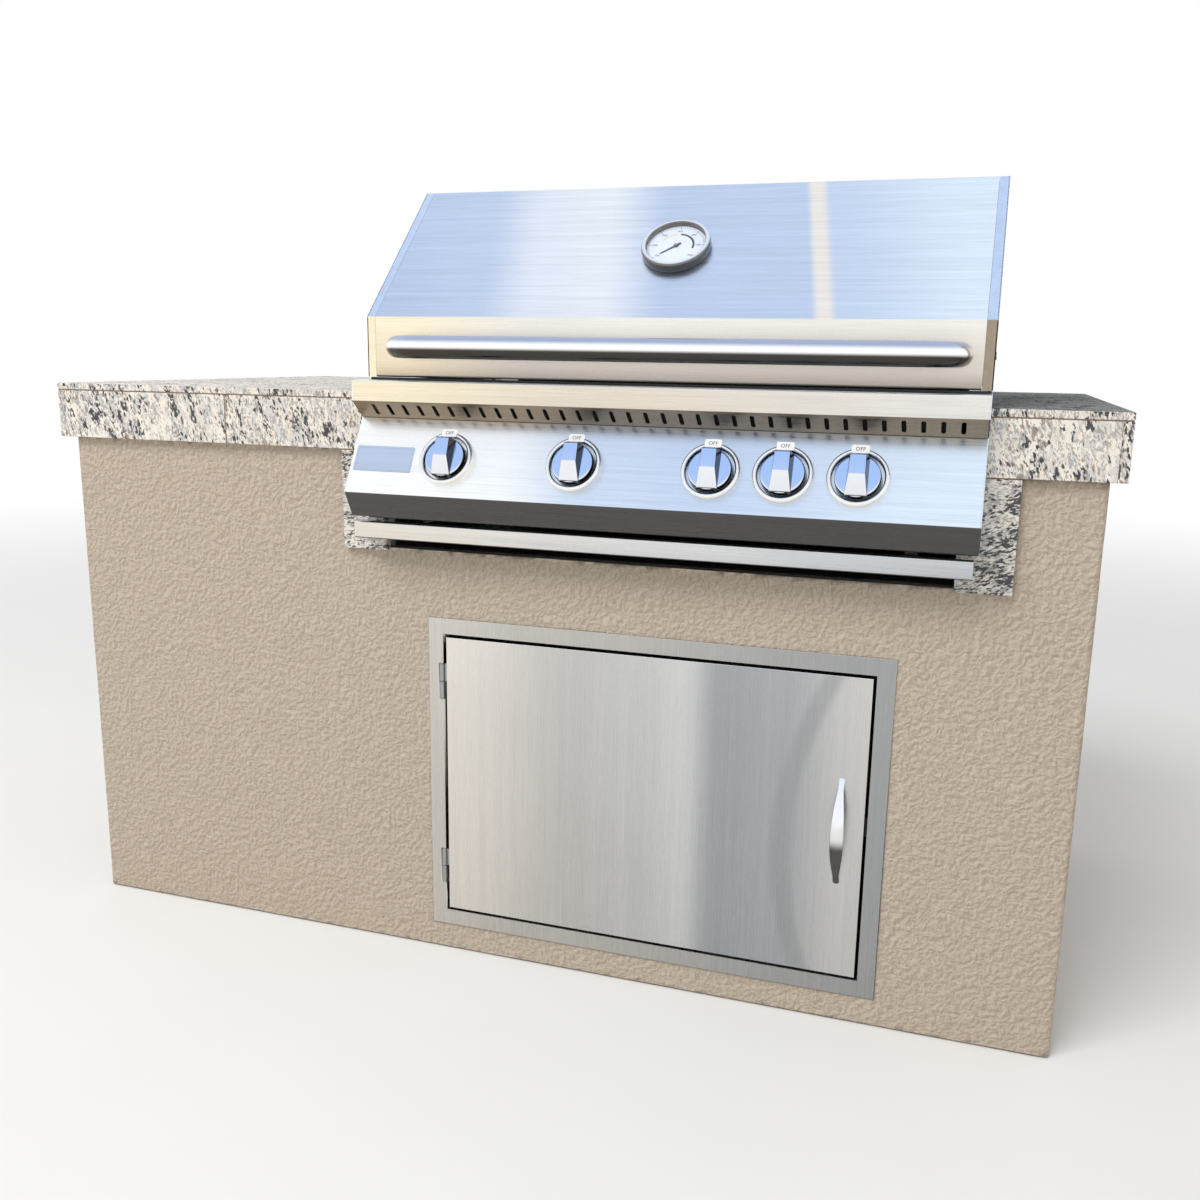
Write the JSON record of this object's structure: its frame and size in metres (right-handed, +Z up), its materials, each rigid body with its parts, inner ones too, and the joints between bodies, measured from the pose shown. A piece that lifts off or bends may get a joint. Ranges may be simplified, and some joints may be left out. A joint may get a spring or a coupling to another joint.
{
  "type": "outdoor kitchen island",
  "caption": "Stuccoed outdoor kitchen island with granite counter, built-in gas grill with hinged hood and knobs, drip tray and hinged steel access door.",
  "frame": {"origin": "on the floor under the middle of the island's overall box", "axes": "+X along the counter to the right seen from the front, +Y from the front to the back, +Z up"},
  "size_m": [1.626, 0.8968, 1.199],
  "materials": {
    "galvanised_steel": "galvanised",
    "cement_board": "raw cement board",
    "wood_packing": "raw",
    "stucco": "fine sand finish, tan",
    "louvre": "painted louvre",
    "granite": "polished cream granite with black and brown speckles",
    "brushed_steel": "brushed",
    "zinc_steel": "zinc plated",
    "catch": "moulded, with a magnet inside",
    "polished_steel": "polished",
    "dark_steel": "dark heat-stained steel",
    "burner_steel": "plain",
    "rear_burner_face": "steel box with a mesh face",
    "bright_steel": "fine brushed, bright",
    "cast_valve": "die cast",
    "dial": "printed dial",
    "needle": "painted",
    "glass": "clear",
    "spring_steel": "plain"
  },
  "bodies": {
    "island": {"base_tracks": "galvanised_steel", "wall_studs": "galvanised_steel", "top_frame": "galvanised_steel", "wall_boards": "cement_board", "deck_boards": "cement_board", "fascia_packing": "wood_packing", "stucco_coat": "stucco", "wall_vents": "louvre", "top_tiles": "granite", "fascia_tiles": "granite", "side_strips": "granite", "door_frame": "brushed_steel", "frame_hinges": "zinc_steel", "door_catch": "catch", "firebox_sides": "brushed_steel", "firebox_front": "dark_steel", "firebox_back": "brushed_steel", "grate_ledges": "dark_steel", "main_burners": "burner_steel", "flame_tamers": "dark_steel", "cooking_grates": "burner_steel", "warming_rack": "polished_steel", "rear_burner": "rear_burner_face", "front_ledge": "bright_steel", "control_panel": "bright_steel", "panel_ends": "brushed_steel", "nameplate": "bright_steel", "gas_manifold": "zinc_steel", "gas_valves": "cast_valve", "knob_bezels": "polished_steel", "tray_rails": "galvanised_steel", "hood_hinges": "zinc_steel"},
    "hood": {"hood_shell": "bright_steel", "hood_ends": "brushed_steel", "hood_liner": "dark_steel", "hood_handle": "polished_steel", "thermometer_case": "polished_steel", "thermometer_dial": "dial", "thermometer_glass": "glass"},
    "needle": {"thermometer_needle": "needle"},
    "door": {"door_skin": "brushed_steel", "door_liner": "galvanised_steel", "door_hinges": "zinc_steel", "door_pull": "polished_steel"},
    "tray": {"drip_tray": "brushed_steel"},
    "knob_1_push": {"thrust_washer_1": "spring_steel"},
    "knob_1_turn": {"knob_1": "polished_steel", "stem_1": "zinc_steel"},
    "knob_2_push": {"thrust_washer_2": "spring_steel"},
    "knob_2_turn": {"knob_2": "polished_steel", "stem_2": "zinc_steel"},
    "knob_3_push": {"thrust_washer_3": "spring_steel"},
    "knob_3_turn": {"knob_3": "polished_steel", "stem_3": "zinc_steel"},
    "knob_4_push": {"thrust_washer_4": "spring_steel"},
    "knob_4_turn": {"knob_4": "polished_steel", "stem_4": "zinc_steel"},
    "knob_5_push": {"thrust_washer_5": "spring_steel"},
    "knob_5_turn": {"knob_5": "polished_steel", "stem_5": "zinc_steel"}
  },
  "joints": [
    {"name": "hood_hinge", "type": "hinge", "parent": "island", "child": "hood", "pos_m": [0.2015, 0.11235, 0.957], "axis": [-1, 0, 0], "range_deg": [0, 80]},
    {"name": "needle_turn", "type": "hinge", "parent": "hood", "child": "needle", "pos_m": [0.2015, -0.25277, 1.09831], "axis": [0, -0.6979, 0.7162], "range_deg": [-260, 0]},
    {"name": "door_hinge", "type": "hinge", "parent": "island", "child": "door", "pos_m": [-0.1281, -0.35315, 0.3], "axis": [0, 0, -1], "range_deg": [0, 110]},
    {"name": "tray_slide", "type": "slide", "parent": "island", "child": "tray", "axis": [0, -1, 0], "range_m": [0, 0.4]},
    {"name": "knob_1_press", "type": "slide", "parent": "island", "child": "knob_1_push", "axis": [0, 0.8721, -0.4894], "range_m": [0, 0.0035], "stiffness_N_per_m": 1500, "springref_m": -0.002},
    {"name": "knob_1_rotate", "type": "hinge", "parent": "knob_1_push", "child": "knob_1_turn", "pos_m": [-0.0877, -0.40755, 0.79724], "axis": [0, -0.8721, 0.4894], "range_deg": [0, 270]},
    {"name": "knob_2_press", "type": "slide", "parent": "island", "child": "knob_2_push", "axis": [0, 0.8721, -0.4894], "range_m": [0, 0.0035], "stiffness_N_per_m": 1500, "springref_m": -0.002},
    {"name": "knob_2_rotate", "type": "hinge", "parent": "knob_2_push", "child": "knob_2_turn", "pos_m": [0.1051, -0.40755, 0.79724], "axis": [0, -0.8721, 0.4894], "range_deg": [0, 270]},
    {"name": "knob_3_press", "type": "slide", "parent": "island", "child": "knob_3_push", "axis": [0, 0.8721, -0.4894], "range_m": [0, 0.0035], "stiffness_N_per_m": 1500, "springref_m": -0.002},
    {"name": "knob_3_rotate", "type": "hinge", "parent": "knob_3_push", "child": "knob_3_turn", "pos_m": [0.2979, -0.40755, 0.79724], "axis": [0, -0.8721, 0.4894], "range_deg": [0, 270]},
    {"name": "knob_4_press", "type": "slide", "parent": "island", "child": "knob_4_push", "axis": [0, 0.8721, -0.4894], "range_m": [0, 0.0035], "stiffness_N_per_m": 1500, "springref_m": -0.002},
    {"name": "knob_4_rotate", "type": "hinge", "parent": "knob_4_push", "child": "knob_4_turn", "pos_m": [0.3943, -0.40755, 0.79724], "axis": [0, -0.8721, 0.4894], "range_deg": [0, 270]},
    {"name": "knob_5_press", "type": "slide", "parent": "island", "child": "knob_5_push", "axis": [0, 0.8721, -0.4894], "range_m": [0, 0.0035], "stiffness_N_per_m": 1500, "springref_m": -0.002},
    {"name": "knob_5_rotate", "type": "hinge", "parent": "knob_5_push", "child": "knob_5_turn", "pos_m": [0.4907, -0.40755, 0.79724], "axis": [0, -0.8721, 0.4894], "range_deg": [0, 270]}
  ]
}
